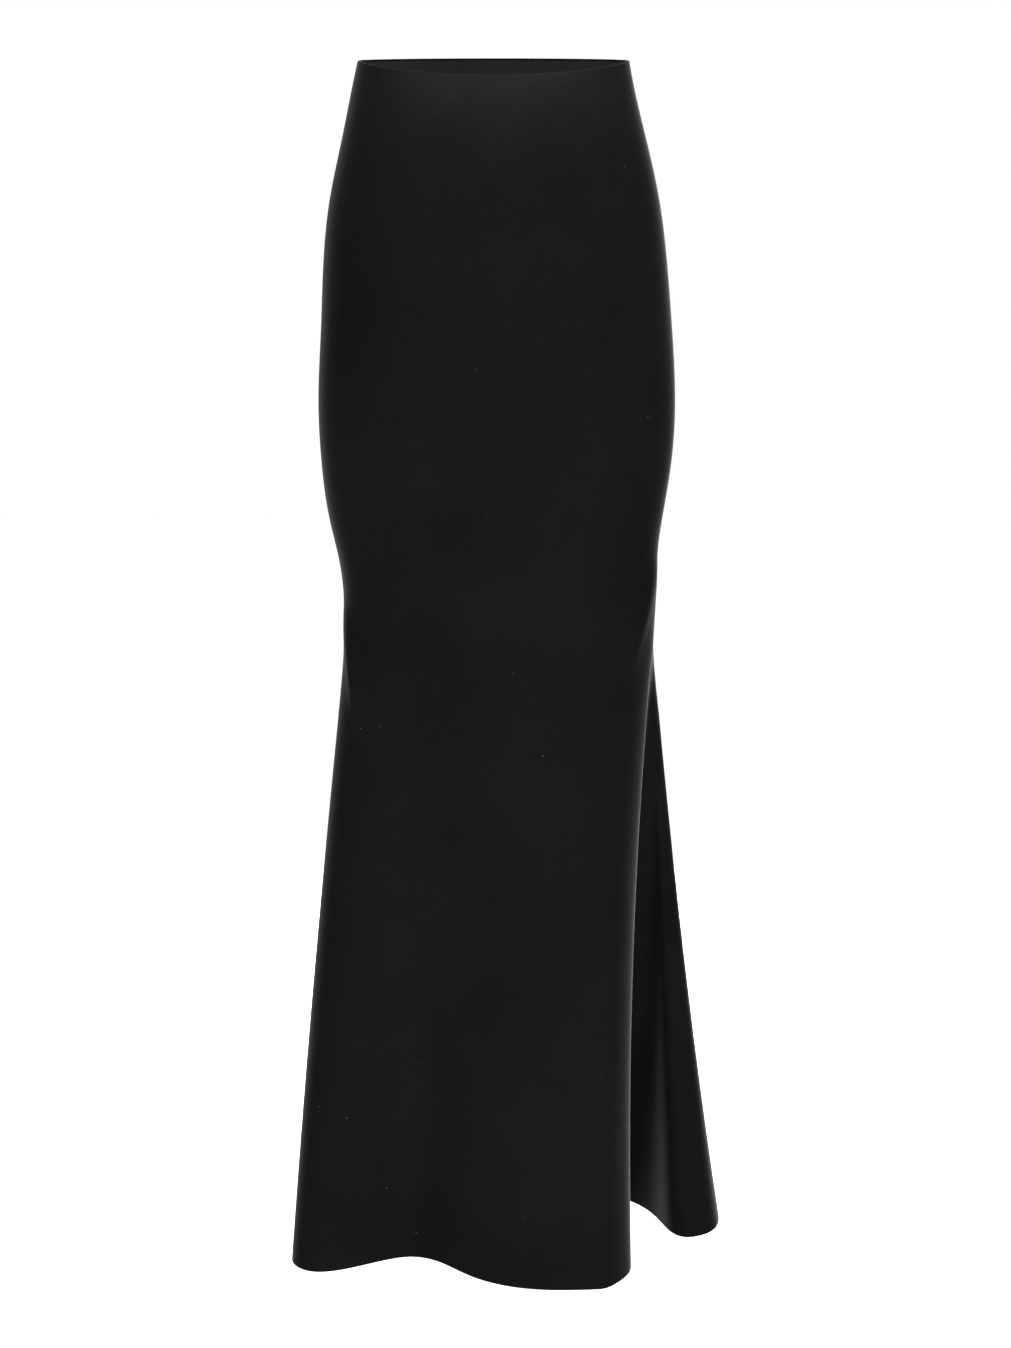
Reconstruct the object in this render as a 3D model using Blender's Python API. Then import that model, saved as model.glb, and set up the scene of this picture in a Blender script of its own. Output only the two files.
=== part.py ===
"""Mermaid fishtail skirt, worn and filled out: a front and a back panel of stretch velvet, sewn at the sides.

The frame is the waist: its centre is the origin, +X is the right of someone facing the front, +Y is the back
and +Z is up, in metres. Each panel is a wall of cloth. Its outer face comes from two short tables: level
sections from the waist to the knee, and the fold lines that spread from the knee to the hem.
"""

import math
from typing import NamedTuple

import bmesh
import bpy
import numpy as np

# Cloth
WALL = 0.0016
SEAM_GAP = 0.0003
VELVET_COLOUR = (0.010, 0.010, 0.010, 1.0)
VELVET_ROUGHNESS = 0.85

# Levels
WAIST_Z = 0.0
KNEE_Z = -0.527
HEM_Z = -1.080
WAIST_DIP = 0.0106  # how far the waist edge dips at the centre front
WAIST_DIP_POWER = 1.5
WAIST_DIP_REACH = 0.10  # the dip has faded out this far below the waist
FLARE_SOFTNESS = 0.035  # share of a fold's length over which it leaves the knee

# Mesh
BODY_ROWS = 15
FLARE_ROWS = 12
COLUMNS_PER_FOLD = 3
WAIST_SEAM_ANGLES = (6.0, 174.0)  # degrees from +X towards +Y, where the right and left seams meet the waist
STEP = 1e-4  # for slopes


class Section(NamedTuple):
    """A level section of the skirt: how far it reaches to each side of the waist's centre."""

    z: float
    left: float
    right: float
    front: float
    back: float


class Fold(NamedTuple):
    """A line down the flare: its angle on the knee section, where it starts, and its place half way and at the hem."""

    name: str
    angle: float
    start_z: float
    mid_x: float
    mid_y: float
    hem_x: float
    hem_y: float


SECTIONS = (
    Section(z=0.000, left=0.1213, right=0.1217, front=0.082, back=0.085),
    Section(z=-0.018, left=0.1253, right=0.1250, front=0.086, back=0.089),
    Section(z=-0.071, left=0.1363, right=0.1376, front=0.096, back=0.104),
    Section(z=-0.125, left=0.1476, right=0.1496, front=0.104, back=0.123),
    Section(z=-0.180, left=0.1535, right=0.1568, front=0.107, back=0.134),
    Section(z=-0.240, left=0.1562, right=0.1618, front=0.106, back=0.131),
    Section(z=-0.305, left=0.1590, right=0.1650, front=0.104, back=0.121),
    Section(z=-0.360, left=0.1568, right=0.1622, front=0.102, back=0.113),
    Section(z=-0.415, left=0.1495, right=0.1538, front=0.098, back=0.107),
    Section(z=-0.452, left=0.1412, right=0.1492, front=0.095, back=0.103),
    Section(z=-0.489, left=0.1370, right=0.1484, front=0.092, back=0.100),
    Section(z=-0.527, left=0.1369, right=0.1467, front=0.090, back=0.098),
    Section(z=-0.600, left=0.1369, right=0.1467, front=0.090, back=0.098),
)

FOLDS = (
    Fold("right_seam", 16, -0.510, 0.1700, 0.0420, 0.2060, 0.0620),
    Fold("back_right_trough", 36, -0.530, 0.1400, 0.0880, 0.1580, 0.1200),
    Fold("back_right_side", 50, -0.510, 0.1380, 0.1240, 0.1820, 0.1700),
    Fold("back_right_crest", 61, -0.500, 0.1120, 0.1520, 0.1500, 0.2150),
    Fold("right_back_trough", 76, -0.520, 0.0590, 0.1420, 0.0860, 0.1880),
    Fold("centre_back_right", 87, -0.490, 0.0220, 0.1660, 0.0370, 0.2470),
    Fold("centre_back_left", 97, -0.490, -0.0160, 0.1670, -0.0270, 0.2500),
    Fold("left_back_trough", 111, -0.530, -0.0560, 0.1400, -0.0800, 0.1860),
    Fold("back_left_crest", 124, -0.500, -0.1060, 0.1480, -0.1440, 0.2100),
    Fold("back_left_side", 136, -0.515, -0.1340, 0.1190, -0.1760, 0.1680),
    Fold("back_left_trough", 152, -0.530, -0.1340, 0.0760, -0.1450, 0.1040),
    Fold("left_seam", 169, -0.520, -0.1490, 0.0180, -0.1670, 0.0280),
    Fold("left_trough", 178, -0.530, -0.1520, -0.0240, -0.1610, -0.0440),
    Fold("left_corner", 186, -0.520, -0.1628, -0.0620, -0.1840, -0.1156),
    Fold("left_nose", 197, -0.520, -0.1500, -0.0960, -0.1660, -0.1530),
    Fold("front_recess", 222, -0.540, -0.0850, -0.1080, -0.0790, -0.1130),
    Fold("front_slope", 244, -0.520, -0.0350, -0.1270, -0.0240, -0.1630),
    Fold("front_bulge_left", 268, -0.500, 0.0150, -0.1430, 0.0310, -0.2015),
    Fold("front_bulge_right", 305, -0.500, 0.0800, -0.1420, 0.0880, -0.2035),
    Fold("front_corner", 335, -0.510, 0.1150, -0.1250, 0.1140, -0.1810),
    Fold("fold_edge", 345, -0.525, 0.1262, -0.0930, 0.1250, -0.1420),
    Fold("recess_wall", 351, -0.530, 0.1210, -0.0480, 0.1050, -0.0450),
    Fold("recess_bottom", 356, -0.530, 0.1270, -0.0020, 0.1150, 0.0660),
    Fold("flute_wall", 360, -0.525, 0.1480, -0.0060, 0.1495, 0.0150),
    Fold("flute_nose", 363, -0.515, 0.1620, -0.0200, 0.1780, -0.0550),
    Fold("flute_front", 366, -0.505, 0.1708, -0.0120, 0.1990, -0.0440),
    Fold("flute_side", 370, -0.500, 0.1738, 0.0120, 0.2125, 0.0120),
)


def smooth_curve(knots, values, period=None):
    """A cubic spline through the values at the knots, natural at its ends, or closed where it has a period."""
    knots, values = np.asarray(knots, float), np.asarray(values, float)
    if period is not None:
        knots = np.append(knots, knots[0] + period)
        values = np.concatenate([values, values[:1]])
    gaps = np.diff(knots)
    slopes = np.diff(values, axis=0) / gaps[:, None]
    count = len(knots)
    system, change = np.eye(count), np.zeros_like(values)
    for i in range(1, count - 1):
        system[i, i - 1 : i + 2] = gaps[i - 1] / 6, (gaps[i - 1] + gaps[i]) / 3, gaps[i] / 6
        change[i] = slopes[i] - slopes[i - 1]
    if period is not None:
        system[0, [-2, 0, 1]] = gaps[-1] / 6, (gaps[-1] + gaps[0]) / 3, gaps[0] / 6
        change[0] = slopes[0] - slopes[-1]
        system[-1, 0] = -1.0
    bends = np.linalg.solve(system, change)

    def at(places):
        places = np.asarray(places, float)
        if period is not None:
            places = knots[0] + (places - knots[0]) % period
        i = np.clip(np.searchsorted(knots, places, side="right") - 1, 0, count - 2)
        gap = gaps[i][:, None]
        after = ((places - knots[i]) / gaps[i])[:, None]
        before = 1 - after
        bent = (before**3 - before) * bends[i] + (after**3 - after) * bends[i + 1]
        return before * values[i] + after * values[i + 1] + bent * gap**2 / 6

    return at


section_at = smooth_curve([-s.z for s in SECTIONS], [s[1:] for s in SECTIONS])


def ring(angles, z):
    """Points of the fitted form on one level, from two half ellipses that meet at the sides."""
    left, right, front, back = section_at([-max(z, SECTIONS[-1].z)])[0]
    centre_x, half_width = (right - left) / 2, (right + left) / 2
    depth = np.where(np.sin(angles) < 0, front, back)
    return np.stack([centre_x + half_width * np.cos(angles), depth * np.sin(angles)], axis=-1)


def fold_shares():
    """How far round the skirt each fold line lies, from 0 to 1, midway between its share of the knee and of the hem."""
    at_hem = np.array([(f.hem_x, f.hem_y) for f in FOLDS])
    at_knee = ring(np.radians([f.angle for f in FOLDS]), KNEE_Z)
    shares = []
    for points in (at_hem, at_knee):
        lengths = np.linalg.norm(np.roll(points, -1, axis=0) - points, axis=1)
        shares.append(np.cumsum(lengths) / lengths.sum())
    return np.append(0.0, np.mean(shares, axis=0)[:-1])


SHARES = fold_shares()
RIGHT_SEAM, LEFT_SEAM, WHOLE_TURN = 0.0, SHARES[[f.name for f in FOLDS].index("left_seam")], 1.0
spare_turn_at = smooth_curve(
    SHARES, [[math.radians(f.angle) - 2 * math.pi * share] for f, share in zip(FOLDS, SHARES)], period=1.0
)


def ease(share):
    """A rise from 0 to 1 that is level at both ends."""
    share = np.clip(share, 0.0, 1.0)
    return share * share * (3 - 2 * share)


def ring_angles(shares, z):
    """Angles on the section: evenly spread between the seams at the waist, and gathered at the fold lines by the knee."""
    right, left = (math.radians(a) for a in WAIST_SEAM_ANGLES)
    at_waist = np.interp(shares, (RIGHT_SEAM, LEFT_SEAM, WHOLE_TURN), (right, left, right + 2 * math.pi))
    at_knee = 2 * math.pi * shares + spare_turn_at(shares)[:, 0]
    gathered = ease((WAIST_Z - z) / (WAIST_Z - KNEE_Z))
    return (1 - gathered) * at_waist + gathered * at_knee


def fold_reach(fold, z):
    """How far the fold line has moved from the section at this level, in x and y."""
    down = max(0.0, (fold.start_z - z) / (fold.start_z - HEM_Z))
    soft = FLARE_SOFTNESS
    down = (math.hypot(down, soft) - soft) / (math.hypot(1.0, soft) - soft)
    seat = ring(np.radians([fold.angle]), KNEE_Z)[0]
    middle = np.array([fold.mid_x, fold.mid_y]) - seat
    hem = np.array([fold.hem_x, fold.hem_y]) - seat
    return 4 * down * (1 - down) * middle + down * (2 * down - 1) * hem


def outer_points(shares, z):
    """Points of the cloth's outer face on one level, at these shares of the way round from the right seam."""
    shares = np.asarray(shares, float) % 1.0
    angles = ring_angles(shares, z)
    flat = ring(angles, z) + smooth_curve(SHARES, [fold_reach(f, z) for f in FOLDS], period=1.0)(shares)
    facing_front = np.maximum(0.0, -np.sin(angles)) ** WAIST_DIP_POWER
    near_waist = ease(1 - (WAIST_Z - z) / WAIST_DIP_REACH)
    heights = z - WAIST_DIP * facing_front * near_waist
    return np.column_stack([flat, heights])


def outward(shares, z):
    """Unit normals of the outer face."""
    round_it = outer_points(shares + STEP, z) - outer_points(shares - STEP, z)
    up_it = outer_points(shares, z + STEP) - outer_points(shares, z - STEP)
    normals = np.cross(round_it, up_it)
    return normals / np.linalg.norm(normals, axis=1)[:, None]


def levels():
    """Row heights from the waist to the hem."""
    body = np.linspace(WAIST_Z, KNEE_Z, BODY_ROWS + 1)
    flare = np.linspace(KNEE_Z, HEM_Z, FLARE_ROWS + 1)
    return np.append(body, flare[1:])


def panel_faces(start, end):
    """Rows of outer and inner points of one panel, held half a seam gap back from each seam line."""
    lines = np.append(SHARES, WHOLE_TURN)
    lines = lines[(lines >= start) & (lines <= end)]
    places = np.arange((len(lines) - 1) * COLUMNS_PER_FOLD + 1) / COLUMNS_PER_FOLD
    shares = np.interp(places, np.arange(len(lines)), lines)
    outer, inner = [], []
    for z in levels():
        points, normals = outer_points(shares, z), outward(shares, z)
        along = points[[1, -2]] - points[[0, -1]]
        points[[0, -1]] += along / np.linalg.norm(along, axis=1)[:, None] * SEAM_GAP / 2
        outer.append(points)
        inner.append(points - WALL * normals)
    return np.array(outer), np.array(inner)


def velvet(name):
    """A plain material in the cloth's colour."""
    material = bpy.data.materials.new(name)
    material.use_nodes = True
    shader = material.node_tree.nodes["Principled BSDF"]
    shader.inputs["Base Color"].default_value = VELVET_COLOUR
    shader.inputs["Roughness"].default_value = VELVET_ROUGHNESS
    shader.inputs["Metallic"].default_value = 0.0
    return material


def add_panel(name, start, end):
    """One panel as a closed wall: its outer sheet, its inner sheet, and the edges that join them."""
    outer, inner = panel_faces(start, end)
    mesh = bmesh.new()
    front = [[mesh.verts.new(p) for p in row] for row in outer]
    back = [[mesh.verts.new(p) for p in row] for row in inner]
    rows, last = range(len(front) - 1), len(front[0]) - 1
    for i in rows:
        for j in range(last):
            mesh.faces.new((front[i + 1][j], front[i + 1][j + 1], front[i][j + 1], front[i][j]))
            mesh.faces.new((back[i][j], back[i][j + 1], back[i + 1][j + 1], back[i + 1][j]))
        mesh.faces.new((front[i][0], back[i][0], back[i + 1][0], front[i + 1][0]))
        mesh.faces.new((front[i + 1][last], back[i + 1][last], back[i][last], front[i][last]))
    for j in range(last):
        mesh.faces.new((front[0][j], front[0][j + 1], back[0][j + 1], back[0][j]))
        mesh.faces.new((back[-1][j], back[-1][j + 1], front[-1][j + 1], front[-1][j]))
    data = bpy.data.meshes.new(name)
    mesh.to_mesh(data)
    mesh.free()
    data.shade_smooth()
    data.materials.append(velvet(name + "_velvet"))
    panel = bpy.data.objects.new(name, data)
    bpy.context.scene.collection.objects.link(panel)
    return panel


def main():
    for thing in list(bpy.data.objects):
        bpy.data.objects.remove(thing, do_unlink=True)
    add_panel("back_panel", RIGHT_SEAM, LEFT_SEAM)
    add_panel("front_panel", LEFT_SEAM, WHOLE_TURN)


main()
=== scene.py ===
"""Looks of the mermaid fishtail skirt: two panels of black stretch velvet, worn and filled out.

Each panel is a thin shell on its solid's form. The sections and the fold lines are those that the
solids are made from, in metres, and the creases are placed on top of them.
"""

import logging
import math
from collections.abc import Callable, Sequence
from dataclasses import dataclass, field
from enum import Enum

import bpy
import numpy as np
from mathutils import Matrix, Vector

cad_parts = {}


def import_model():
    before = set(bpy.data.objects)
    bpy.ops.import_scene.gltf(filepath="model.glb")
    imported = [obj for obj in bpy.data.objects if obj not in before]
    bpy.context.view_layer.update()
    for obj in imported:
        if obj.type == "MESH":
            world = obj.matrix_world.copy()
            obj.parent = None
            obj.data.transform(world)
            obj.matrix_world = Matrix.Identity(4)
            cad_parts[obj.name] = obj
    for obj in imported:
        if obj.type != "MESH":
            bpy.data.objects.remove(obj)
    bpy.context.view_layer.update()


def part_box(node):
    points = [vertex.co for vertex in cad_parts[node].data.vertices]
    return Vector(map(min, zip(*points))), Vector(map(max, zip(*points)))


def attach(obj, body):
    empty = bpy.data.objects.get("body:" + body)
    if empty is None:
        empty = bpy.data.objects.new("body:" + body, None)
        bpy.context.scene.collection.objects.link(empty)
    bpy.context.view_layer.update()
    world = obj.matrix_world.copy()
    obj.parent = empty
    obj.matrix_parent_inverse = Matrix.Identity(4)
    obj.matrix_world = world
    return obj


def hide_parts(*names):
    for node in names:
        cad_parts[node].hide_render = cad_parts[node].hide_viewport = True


LOG = logging.getLogger("skirt")
NODES = ("front_panel", "back_panel")
CREASE_END = 0.02
CREASE_END_POWER = 0.7
CREASE_SIDE_CHANGE = 1.6
SMOOTH_UNDER_DEGREES = 60
FLOOR_DROP = 0.15

Point = tuple[float, float, float]
Colour = tuple[float, float, float]
Curve = Callable[[Sequence[float]], np.ndarray]


class Side(Enum):
    """Which way a crease faces: -1 is the front of the skirt and +1 the back."""

    FRONT = -1
    BACK = 1


@dataclass(frozen=True)
class Section:
    """A level section above the knee: how far it reaches from the waist's centre, in metres."""

    z: float
    left: float
    right: float
    front: float
    back: float


@dataclass(frozen=True)
class Fold:
    """A line down the flare: its angle on the knee, its top, and its places half way and at the hem."""

    name: str
    angle: float
    start_z: float
    mid_x: float
    mid_y: float
    hem_x: float
    hem_y: float


@dataclass(frozen=True)
class Crease:
    """A soft ridge, or a trough where its height is negative, along a line seen from its side."""

    side: Side
    start_x: float
    start_z: float
    end_x: float
    end_z: float
    height: float
    width: float


@dataclass(frozen=True)
class Lamp:
    """A rectangular soft light: where it is, the point that it faces, its size and its watts."""

    name: str
    place: Point
    aim: Point
    size: tuple[float, float]
    power: float


SECTIONS = (
    Section(z=0.000, left=0.1213, right=0.1217, front=0.082, back=0.085),
    Section(z=-0.018, left=0.1253, right=0.1250, front=0.086, back=0.089),
    Section(z=-0.071, left=0.1363, right=0.1376, front=0.096, back=0.104),
    Section(z=-0.125, left=0.1476, right=0.1496, front=0.104, back=0.123),
    Section(z=-0.180, left=0.1535, right=0.1568, front=0.107, back=0.134),
    Section(z=-0.240, left=0.1562, right=0.1618, front=0.106, back=0.131),
    Section(z=-0.305, left=0.1590, right=0.1650, front=0.104, back=0.121),
    Section(z=-0.360, left=0.1568, right=0.1622, front=0.102, back=0.113),
    Section(z=-0.415, left=0.1495, right=0.1538, front=0.098, back=0.107),
    Section(z=-0.452, left=0.1412, right=0.1492, front=0.095, back=0.103),
    Section(z=-0.489, left=0.1370, right=0.1484, front=0.092, back=0.100),
    Section(z=-0.527, left=0.1369, right=0.1467, front=0.090, back=0.098),
    Section(z=-0.600, left=0.1369, right=0.1467, front=0.090, back=0.098),
)

FOLDS = (
    Fold("right_seam", 16, -0.510, 0.1700, 0.0420, 0.2060, 0.0620),
    Fold("back_right_trough", 36, -0.530, 0.1400, 0.0880, 0.1580, 0.1200),
    Fold("back_right_side", 50, -0.510, 0.1380, 0.1240, 0.1820, 0.1700),
    Fold("back_right_crest", 61, -0.500, 0.1120, 0.1520, 0.1500, 0.2150),
    Fold("right_back_trough", 76, -0.520, 0.0590, 0.1420, 0.0860, 0.1880),
    Fold("centre_back_right", 87, -0.490, 0.0220, 0.1660, 0.0370, 0.2470),
    Fold("centre_back_left", 97, -0.490, -0.0160, 0.1670, -0.0270, 0.2500),
    Fold("left_back_trough", 111, -0.530, -0.0560, 0.1400, -0.0800, 0.1860),
    Fold("back_left_crest", 124, -0.500, -0.1060, 0.1480, -0.1440, 0.2100),
    Fold("back_left_side", 136, -0.515, -0.1340, 0.1190, -0.1760, 0.1680),
    Fold("back_left_trough", 152, -0.530, -0.1340, 0.0760, -0.1450, 0.1040),
    Fold("left_seam", 169, -0.520, -0.1490, 0.0180, -0.1670, 0.0280),
    Fold("left_trough", 178, -0.530, -0.1520, -0.0240, -0.1610, -0.0440),
    Fold("left_corner", 186, -0.520, -0.1628, -0.0620, -0.1840, -0.1156),
    Fold("left_nose", 197, -0.520, -0.1500, -0.0960, -0.1660, -0.1530),
    Fold("front_recess", 222, -0.540, -0.0850, -0.1080, -0.0790, -0.1130),
    Fold("front_slope", 244, -0.520, -0.0350, -0.1270, -0.0240, -0.1630),
    Fold("front_bulge_left", 268, -0.500, 0.0150, -0.1430, 0.0310, -0.2015),
    Fold("front_bulge_right", 305, -0.500, 0.0800, -0.1420, 0.0880, -0.2035),
    Fold("front_corner", 335, -0.510, 0.1150, -0.1250, 0.1140, -0.1810),
    Fold("fold_edge", 345, -0.525, 0.1262, -0.0930, 0.1250, -0.1420),
    Fold("recess_wall", 351, -0.530, 0.1210, -0.0480, 0.1050, -0.0450),
    Fold("recess_bottom", 356, -0.530, 0.1270, -0.0020, 0.1150, 0.0660),
    Fold("flute_wall", 360, -0.525, 0.1480, -0.0060, 0.1495, 0.0150),
    Fold("flute_nose", 363, -0.515, 0.1620, -0.0200, 0.1780, -0.0550),
    Fold("flute_front", 366, -0.505, 0.1708, -0.0120, 0.1990, -0.0440),
    Fold("flute_side", 370, -0.500, 0.1738, 0.0120, 0.2125, 0.0120),
)

CREASES = (
    # Where the side flutes break away at the knee
    Crease(Side.FRONT, -0.1350, -0.490, -0.1225, -0.600, 0.0042, 0.0055),
    Crease(Side.FRONT, -0.1230, -0.520, -0.1120, -0.610, -0.0022, 0.0080),
    Crease(Side.FRONT, 0.1490, -0.445, 0.1170, -0.560, 0.0042, 0.0080),
    Crease(Side.FRONT, 0.1300, -0.440, 0.1000, -0.540, -0.0020, 0.0110),
    # A drag across the thigh
    Crease(Side.FRONT, -0.0450, -0.440, 0.0480, -0.400, -0.0016, 0.0120),
    Crease(Side.FRONT, -0.0350, -0.466, 0.0600, -0.428, 0.0014, 0.0130),
    # Small dents near the front of the hem
    Crease(Side.FRONT, -0.1000, -1.035, -0.0580, -1.068, -0.0018, 0.0045),
    Crease(Side.FRONT, -0.0720, -1.020, -0.0560, -1.050, 0.0013, 0.0050),
    # Where the back flutes break away, and the drags across the back
    Crease(Side.BACK, -0.1280, -0.480, -0.1020, -0.585, 0.0028, 0.0080),
    Crease(Side.BACK, -0.0950, -0.500, -0.0250, -0.470, -0.0018, 0.0120),
    Crease(Side.BACK, -0.0750, -0.525, 0.0050, -0.500, 0.0016, 0.0110),
    Crease(Side.BACK, 0.1330, -0.470, 0.1020, -0.570, 0.0026, 0.0085),
    Crease(Side.BACK, 0.0950, -0.480, 0.0150, -0.455, -0.0016, 0.0130),
    Crease(Side.BACK, 0.0300, -0.300, 0.1000, -0.270, -0.0013, 0.0150),
    Crease(Side.BACK, -0.0980, -0.315, -0.0350, -0.290, -0.0012, 0.0140),
)


LAMPS = (
    # A strip just over the waist's front edge, which picks out the pile there
    Lamp("waist", (0.02, -0.135, 0.035), (0.02, -0.08, -0.02), (0.32, 0.03), 0.9),
    Lamp("front", (0.20, -1.7, -0.48), (0.0, 0.0, -0.55), (0.5, 0.5), 62.0),
    Lamp("back", (0.20, 2.2, -0.30), (0.0, 0.0, -0.50), (0.8, 0.8), 60.0),
    Lamp("left_rim", (-2.2, 0.4, -0.5), (0.0, 0.0, -0.70), (0.8, 0.8), 18.0),
    Lamp("right_rim", (1.2, 0.4, 0.7), (0.13, 0.0, -0.08), (0.5, 0.5), 9.0),
)


def smooth_curve(
    knots: Sequence[float], values: Sequence[Sequence[float]], period: float | None = None
) -> Curve:
    """A cubic spline through values at knots.

    Args:
        knots: places of the values, rising.
        values: one row of numbers for each knot.
        period: the length after which a closed curve repeats, or None for an open one.

    Returns:
        A function from an array of places to rows of values.
    """
    knots, values = np.asarray(knots, float), np.asarray(values, float)
    if period is not None:
        knots = np.append(knots, knots[0] + period)
        values = np.concatenate([values, values[:1]])
    gaps = np.diff(knots)
    slopes = np.diff(values, axis=0) / gaps[:, None]
    count = len(knots)
    system, change = np.eye(count), np.zeros_like(values)
    for i in range(1, count - 1):
        system[i, i - 1 : i + 2] = gaps[i - 1] / 6, (gaps[i - 1] + gaps[i]) / 3, gaps[i] / 6
        change[i] = slopes[i] - slopes[i - 1]
    if period is not None:
        system[0, [-2, 0, 1]] = gaps[-1] / 6, (gaps[-1] + gaps[0]) / 3, gaps[0] / 6
        change[0] = slopes[0] - slopes[-1]
        system[-1, 0] = -1.0
    bends = np.linalg.solve(system, change)

    def at(places: Sequence[float]) -> np.ndarray:
        """Rows of values at these places."""
        places = np.asarray(places, float)
        if period is not None:
            places = knots[0] + (places - knots[0]) % period
        i = np.clip(np.searchsorted(knots, places, side="right") - 1, 0, count - 2)
        after = ((places - knots[i]) / gaps[i])[:, None]
        before = 1 - after
        bent = (before**3 - before) * bends[i] + (after**3 - after) * bends[i + 1]
        return before * values[i] + after * values[i + 1] + bent * gaps[i][:, None] ** 2 / 6

    return at


def ease(share: float | np.ndarray) -> np.ndarray:
    """A rise from 0 to 1 that is level at both ends."""
    share = np.clip(share, 0.0, 1.0)
    return share * share * (3 - 2 * share)


@dataclass
class SkirtForm:
    """The outer face of the whole skirt, as a function of the way round and the height."""

    waist_z: float
    hem_z: float
    knee_z: float = -0.527
    waist_dip: float = 0.0106
    waist_dip_power: float = 1.5
    waist_dip_reach: float = 0.10
    flare_softness: float = 0.035
    waist_seam_angles: tuple[float, float] = (6.0, 174.0)
    step: float = 1e-4
    shares: np.ndarray = field(init=False)
    left_seam: float = field(init=False)
    section_at: Curve = field(init=False)
    spare_turn_at: Curve = field(init=False)

    def __post_init__(self) -> None:
        """Works out how far round the skirt each fold line lies."""
        self.section_at = smooth_curve(
            [-s.z for s in SECTIONS], [(s.left, s.right, s.front, s.back) for s in SECTIONS]
        )
        at_hem = np.array([(f.hem_x, f.hem_y) for f in FOLDS])
        at_knee = self.ring(np.radians([f.angle for f in FOLDS]), self.knee_z)
        found = []
        for points in (at_hem, at_knee):
            lengths = np.linalg.norm(np.roll(points, -1, axis=0) - points, axis=1)
            found.append(np.cumsum(lengths) / lengths.sum())
        self.shares = np.append(0.0, np.mean(found, axis=0)[:-1])
        self.left_seam = float(self.shares[[f.name for f in FOLDS].index("left_seam")])
        spare = [[math.radians(f.angle) - 2 * math.pi * s] for f, s in zip(FOLDS, self.shares)]
        self.spare_turn_at = smooth_curve(self.shares, spare, period=1.0)

    def ring(self, angles: np.ndarray, z: float) -> np.ndarray:
        """Points of the fitted form at these angles on one level."""
        left, right, front, back = self.section_at([-max(z, SECTIONS[-1].z)])[0]
        depth = np.where(np.sin(angles) < 0, front, back)
        across = (right - left) / 2 + (right + left) / 2 * np.cos(angles)
        return np.stack([across, depth * np.sin(angles)], axis=-1)

    def angles(self, shares: np.ndarray, z: float) -> np.ndarray:
        """Angles on the section, spread evenly at the waist and gathered at the folds by the knee."""
        right, left = (math.radians(a) for a in self.waist_seam_angles)
        seams = (0.0, self.left_seam, 1.0)
        at_waist = np.interp(shares, seams, (right, left, right + 2 * math.pi))
        at_knee = 2 * math.pi * shares + self.spare_turn_at(shares)[:, 0]
        gathered = ease((self.waist_z - z) / (self.waist_z - self.knee_z))
        return (1 - gathered) * at_waist + gathered * at_knee

    def fold_reach(self, fold: Fold, z: float) -> np.ndarray:
        """How far a fold line has moved from the section at this level, in x and y."""
        down = max(0.0, (fold.start_z - z) / (fold.start_z - self.hem_z))
        soft = self.flare_softness
        down = (math.hypot(down, soft) - soft) / (math.hypot(1.0, soft) - soft)
        seat = self.ring(np.radians([fold.angle]), self.knee_z)[0]
        middle = np.array([fold.mid_x, fold.mid_y]) - seat
        hem = np.array([fold.hem_x, fold.hem_y]) - seat
        return 4 * down * (1 - down) * middle + down * (2 * down - 1) * hem

    def points(self, shares: np.ndarray, z: float) -> np.ndarray:
        """Points of the outer face on one level."""
        shares = np.asarray(shares, float) % 1.0
        angles = self.angles(shares, z)
        reach = smooth_curve(self.shares, [self.fold_reach(f, z) for f in FOLDS], period=1.0)
        flat = self.ring(angles, z) + reach(shares)
        facing_front = np.maximum(0.0, -np.sin(angles)) ** self.waist_dip_power
        near_waist = ease(1 - (self.waist_z - z) / self.waist_dip_reach)
        return np.column_stack([flat, z - self.waist_dip * facing_front * near_waist])

    def normals(self, shares: np.ndarray, z: float) -> np.ndarray:
        """Unit normals of the outer face, pointing out."""
        round_it = self.points(shares + self.step, z) - self.points(shares - self.step, z)
        up_it = self.points(shares, z + self.step) - self.points(shares, z - self.step)
        found = np.cross(round_it, up_it)
        return found / np.linalg.norm(found, axis=1)[:, None]


def crease_heights(points: np.ndarray, normals: np.ndarray) -> np.ndarray:
    """How far the creases lift or sink each point.

    Args:
        points: places on the outer face.
        normals: the outer face's unit normals there.

    Returns:
        One height for each point, in metres.
    """
    heights = np.zeros(len(points))
    for crease in CREASES:
        start = np.array([crease.start_x, crease.start_z])
        run = np.array([crease.end_x, crease.end_z]) - start
        offset = points[:, [0, 2]] - start
        along = np.clip(offset @ run / (run @ run), 0.0, 1.0)
        away = np.linalg.norm(offset - along[:, None] * run, axis=1) / crease.width
        fade = np.sin(math.pi * np.clip(along, CREASE_END, 1 - CREASE_END)) ** CREASE_END_POWER
        facing = ease(0.5 + normals[:, 1] * crease.side.value * CREASE_SIDE_CHANGE)
        heights += crease.height * np.exp(-away * away) * fade * facing
    return heights


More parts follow.
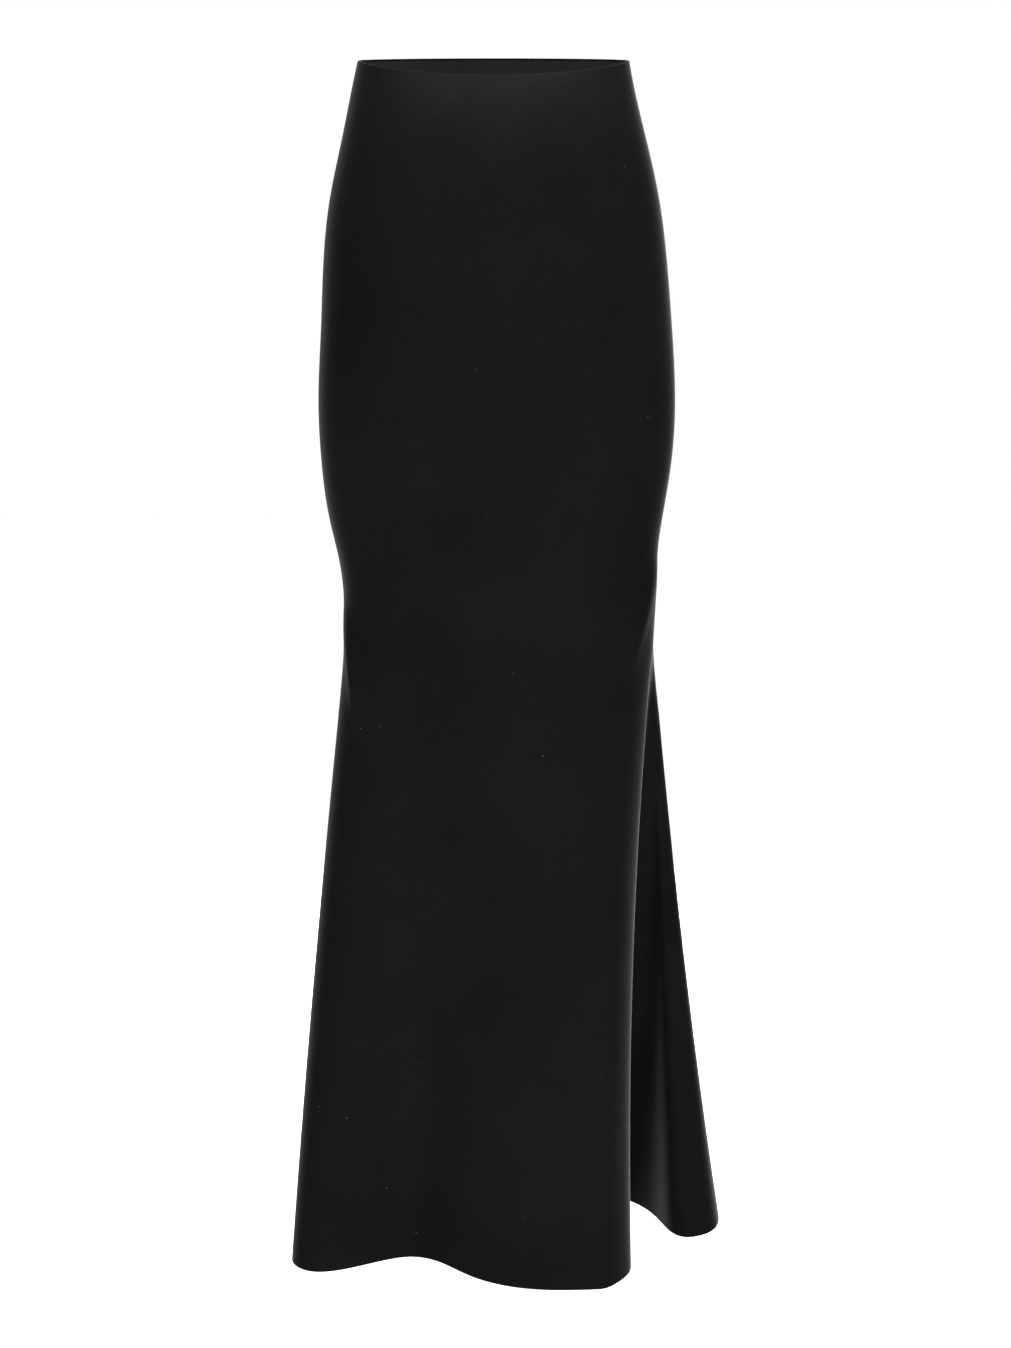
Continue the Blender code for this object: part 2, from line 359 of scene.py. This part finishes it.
@dataclass(frozen=True)
class Velvet:
    """Black velvet: a dark ground under a dense pile that lights up where it is seen edge on."""

    name: str
    dark: Colour = (0.0021, 0.0021, 0.0021)
    light: Colour = (0.0036, 0.0036, 0.0035)
    roughness: float = 0.9
    sheen: float = 0.09
    sheen_roughness: float = 0.28
    sheen_tint: Colour = (0.99, 1.0, 0.98)
    brushed_scale: float = 9.0
    tuft_scale: float = 260.0
    pile_scale: float = 2600.0
    pile_depth: float = 0.00012
    pile_strength: float = 0.35
    dark_under: float = 0.36
    light_over: float = 0.72
    has_lint: bool = True
    lint: Colour = (0.020, 0.020, 0.019)
    lint_scale: float = 34.0
    lint_size: float = 0.026
    lint_missing: float = 0.45

    def make(self) -> bpy.types.Material:
        """Builds the material's nodes."""
        material = bpy.data.materials.new(self.name)
        material.use_nodes = True
        tree = material.node_tree
        shader = tree.nodes["Principled BSDF"]
        shader.inputs["Roughness"].default_value = self.roughness
        shader.inputs["Specular IOR Level"].default_value = 0.0
        shader.inputs["Sheen Weight"].default_value = self.sheen
        shader.inputs["Sheen Roughness"].default_value = self.sheen_roughness
        shader.inputs["Sheen Tint"].default_value = (*self.sheen_tint, 1.0)
        place = tree.nodes.new("ShaderNodeTexCoord").outputs["Object"]

        def noise(scale: float, detail: float, rough: float) -> bpy.types.NodeSocket:
            """Soft noise of one size on the cloth."""
            node = tree.nodes.new("ShaderNodeTexNoise")
            node.inputs["Scale"].default_value = scale
            node.inputs["Detail"].default_value = detail
            node.inputs["Roughness"].default_value = rough
            tree.links.new(place, node.inputs["Vector"])
            return node.outputs["Fac"]

        def maths(
            operation: str, first: bpy.types.NodeSocket, second: bpy.types.NodeSocket | float
        ) -> bpy.types.NodeSocket:
            """One step of arithmetic on sockets or numbers."""
            node = tree.nodes.new("ShaderNodeMath")
            node.operation = operation
            for socket, value in zip(node.inputs, (first, second)):
                if isinstance(value, (int, float)):
                    socket.default_value = value
                else:
                    tree.links.new(value, socket)
            return node.outputs[0]

        brushed = noise(self.brushed_scale, detail=4.0, rough=0.55)
        tufts = noise(self.tuft_scale, detail=3.0, rough=0.6)
        pile = noise(self.pile_scale, detail=2.0, rough=0.7)
        blend = maths("ADD", maths("MULTIPLY", brushed, 0.55), maths("MULTIPLY", tufts, 0.3))
        blend = maths("ADD", blend, maths("MULTIPLY", pile, 0.25))
        ramp = tree.nodes.new("ShaderNodeValToRGB")
        ramp.color_ramp.elements[0].position = self.dark_under
        ramp.color_ramp.elements[0].color = (*self.dark, 1.0)
        ramp.color_ramp.elements[1].position = self.light_over
        ramp.color_ramp.elements[1].color = (*self.light, 1.0)
        tree.links.new(blend, ramp.inputs["Fac"])
        colour = ramp.outputs["Color"]
        if self.has_lint:
            cells = tree.nodes.new("ShaderNodeTexVoronoi")
            cells.inputs["Scale"].default_value = self.lint_scale
            tree.links.new(place, cells.inputs["Vector"])
            parts = tree.nodes.new("ShaderNodeSeparateColor")
            tree.links.new(cells.outputs["Color"], parts.inputs["Color"])
            near = maths("LESS_THAN", cells.outputs["Distance"], self.lint_size)
            chosen = maths("GREATER_THAN", parts.outputs["Red"], self.lint_missing)
            mix = tree.nodes.new("ShaderNodeMix")
            mix.data_type = "RGBA"
            mix.inputs["B"].default_value = (*self.lint, 1.0)
            tree.links.new(maths("MULTIPLY", near, chosen), mix.inputs["Factor"])
            tree.links.new(colour, mix.inputs["A"])
            colour = mix.outputs["Result"]
        tree.links.new(colour, shader.inputs["Base Color"])
        bump = tree.nodes.new("ShaderNodeBump")
        bump.inputs["Strength"].default_value = self.pile_strength
        bump.inputs["Distance"].default_value = self.pile_depth
        height = maths("ADD", maths("MULTIPLY", tufts, 1.5), pile)
        tree.links.new(height, bump.inputs["Height"])
        tree.links.new(bump.outputs["Normal"], shader.inputs["Normal"])
        return material


@dataclass
class Panel:
    """One panel of cloth, from one side seam to the other."""

    node: str
    start: float
    end: float
    columns: int
    slot: str
    flat: tuple[float, float]
    area: float
    rows: int = 250
    wall: float = 0.0016
    edge_roll: float = 0.0016
    seam_roll_share: float = 0.6
    seam_steps: tuple[float, ...] = (0.125, 0.375)
    edge_steps: tuple[float, ...] = (0.0, 0.12, 0.35, 0.7, 1.2)

    def way_round(self) -> np.ndarray:
        """Shares round the skirt of the panel's columns, with extra ones close to the seams."""
        even = np.linspace(self.start, self.end, self.columns + 1 - 2 * len(self.seam_steps))
        close = np.array(self.seam_steps) * (self.end - self.start) / self.columns
        return np.sort(np.concatenate([even, even[0] + close, even[-1] - close]))

    def heights(self, form: SkirtForm) -> np.ndarray:
        """Levels of the panel's rows, hem first, closer together at both edges."""
        close = self.edge_roll * np.array(self.edge_steps)
        low, high = form.hem_z + 2 * self.edge_roll, form.waist_z - 2 * self.edge_roll
        inner = np.linspace(low, high, self.rows + 1 - 2 * len(close))
        return np.concatenate([form.hem_z + close, inner, (form.waist_z - close)[::-1]])

    def roll(self, gap: np.ndarray) -> np.ndarray:
        """How far the cloth turns in at this distance from a cut edge."""
        left = np.clip(self.edge_roll - gap, 0.0, self.edge_roll)
        return self.edge_roll - np.sqrt(self.edge_roll**2 - left**2)

    def surface(self, form: SkirtForm) -> np.ndarray:
        """Points of the outer face, row by row from the hem up, with its creases and rolled edges."""
        shares, rows = self.way_round(), []
        for z in self.heights(form):
            points, normals = form.points(shares, z), form.normals(shares, z)
            steps = np.linalg.norm(np.diff(points, axis=0), axis=1)
            from_start = np.append(0.0, np.cumsum(steps))
            to_seam = np.minimum(from_start, from_start[-1] - from_start)
            to_edge = np.full_like(to_seam, min(form.waist_z - z, z - form.hem_z))
            turned = np.maximum(self.roll(to_seam) * self.seam_roll_share, self.roll(to_edge))
            lift = crease_heights(points, normals) - turned
            rows.append(points + normals * lift[:, None])
        return np.concatenate(rows)

    def build(
        self, form: SkirtForm, outside: bpy.types.Material, inside: bpy.types.Material
    ) -> bpy.types.Object:
        """Shapes the panel from a grid and gives it its wall.

        Args:
            form: the skirt's outer face.
            outside: the finish of the outer face.
            inside: the finish of the inner face.

        Returns:
            The finished panel.
        """
        bpy.ops.object.select_all(action="DESELECT")
        bpy.ops.mesh.primitive_grid_add(x_subdivisions=self.columns, y_subdivisions=self.rows, size=1.0)
        panel = bpy.context.active_object
        panel.name = self.node + "_cloth"
        panel.data.vertices.foreach_set("co", self.surface(form).ravel())
        panel.data.update()
        panel.data.materials.append(outside)
        panel.data.materials.append(inside)
        wall = panel.modifiers.new("wall", "SOLIDIFY")
        wall.thickness = self.wall
        wall.offset = -1.0
        wall.material_offset = 1
        bpy.ops.object.modifier_apply(modifier=wall.name)
        bpy.ops.object.shade_smooth_by_angle(angle=math.radians(SMOOTH_UNDER_DEGREES))
        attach(panel, "root")
        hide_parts(self.node)
        LOG.info("%s: %d faces", panel.name, len(panel.data.polygons))
        return panel


@dataclass
class Studio:
    """A plain white sweep, soft lights, and the camera a little above the waist, tilted down."""

    floor_z: float
    camera_place: Point = (0.0109, -3.6, 0.08)
    camera_tilt: float = 10.051
    lens: float = 106.19
    clip_end: float = 100.0
    sweep_half: float = 6.0

    def build(self) -> None:
        """Adds the sweep, the light all round, the lamps and the camera."""
        self.add_sweep()
        world = bpy.data.worlds.new("studio")
        world.use_nodes = True
        world.node_tree.nodes["Background"].inputs["Color"].default_value = (1.0, 1.0, 1.0, 1.0)
        world.node_tree.nodes["Background"].inputs["Strength"].default_value = 1.0
        bpy.context.scene.world = world
        for lamp in LAMPS:
            self.add_lamp(lamp)
        self.add_camera()
        bpy.context.scene.view_settings.view_transform = "Standard"

    def add_sweep(self) -> None:
        """The white floor under the skirt."""
        bpy.ops.object.select_all(action="DESELECT")
        bpy.ops.mesh.primitive_plane_add(size=2 * self.sweep_half, location=(0, 0, self.floor_z))
        floor = bpy.context.active_object
        floor.name = "floor"
        paint = bpy.data.materials.new("white_floor")
        paint.use_nodes = True
        shader = paint.node_tree.nodes["Principled BSDF"]
        shader.inputs["Base Color"].default_value = (1.0, 1.0, 1.0, 1.0)
        shader.inputs["Roughness"].default_value = 0.9
        floor.data.materials.append(paint)

    def add_lamp(self, lamp: Lamp) -> None:
        """A soft light at its place, turned to face its aim and hidden from the camera."""
        data = bpy.data.lights.new(lamp.name, "AREA")
        data.shape = "RECTANGLE"
        data.size, data.size_y = lamp.size
        data.energy = lamp.power
        light = bpy.data.objects.new(lamp.name, data)
        light.location = lamp.place
        light.rotation_euler = (Vector(lamp.aim) - Vector(lamp.place)).to_track_quat("-Z", "Y").to_euler()
        light.visible_camera = False
        bpy.context.scene.collection.objects.link(light)

    def add_camera(self) -> None:
        """The camera in front of the skirt, looking along +Y and tilted down."""
        data = bpy.data.cameras.new("camera")
        data.lens = self.lens
        data.clip_end = self.clip_end
        camera = bpy.data.objects.new("camera", data)
        camera.location = self.camera_place
        camera.rotation_euler = (math.radians(90 - self.camera_tilt), 0.0, 0.0)
        bpy.context.scene.collection.objects.link(camera)
        bpy.context.scene.camera = camera


def add_panels(form: SkirtForm) -> None:
    """Adds the front and the back panel, from seam to seam."""
    outside = Velvet("black_velvet").make()
    inside = Velvet(
        "velvet_back",
        dark=(0.010, 0.010, 0.0098),
        light=(0.014, 0.014, 0.0136),
        sheen=0.07,
        has_lint=False,
    ).make()
    front = Panel(
        node="front_panel",
        start=form.left_seam,
        end=1.0,
        columns=180,
        slot="velvet_front",
        flat=(1.06, 1.10),
        area=0.60,
    )
    back = Panel(
        node="back_panel",
        start=0.0,
        end=form.left_seam,
        columns=150,
        slot="velvet_back",
        flat=(0.90, 1.12),
        area=0.50,
    )
    for panel in (front, back):
        panel.build(form, outside, inside)


def main() -> None:
    """Builds the skirt on the frame, then the studio."""
    logging.basicConfig(level=logging.INFO, format="%(name)s: %(message)s")
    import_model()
    waist_z = max(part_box(node)[1][2] for node in NODES)
    hem_z = min(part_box(node)[0][2] for node in NODES)
    form = SkirtForm(waist_z=round(waist_z, 2), hem_z=round(hem_z, 2))
    add_panels(form)
    Studio(floor_z=form.hem_z - FLOOR_DROP).build()


if __name__ == "__main__":
    main()
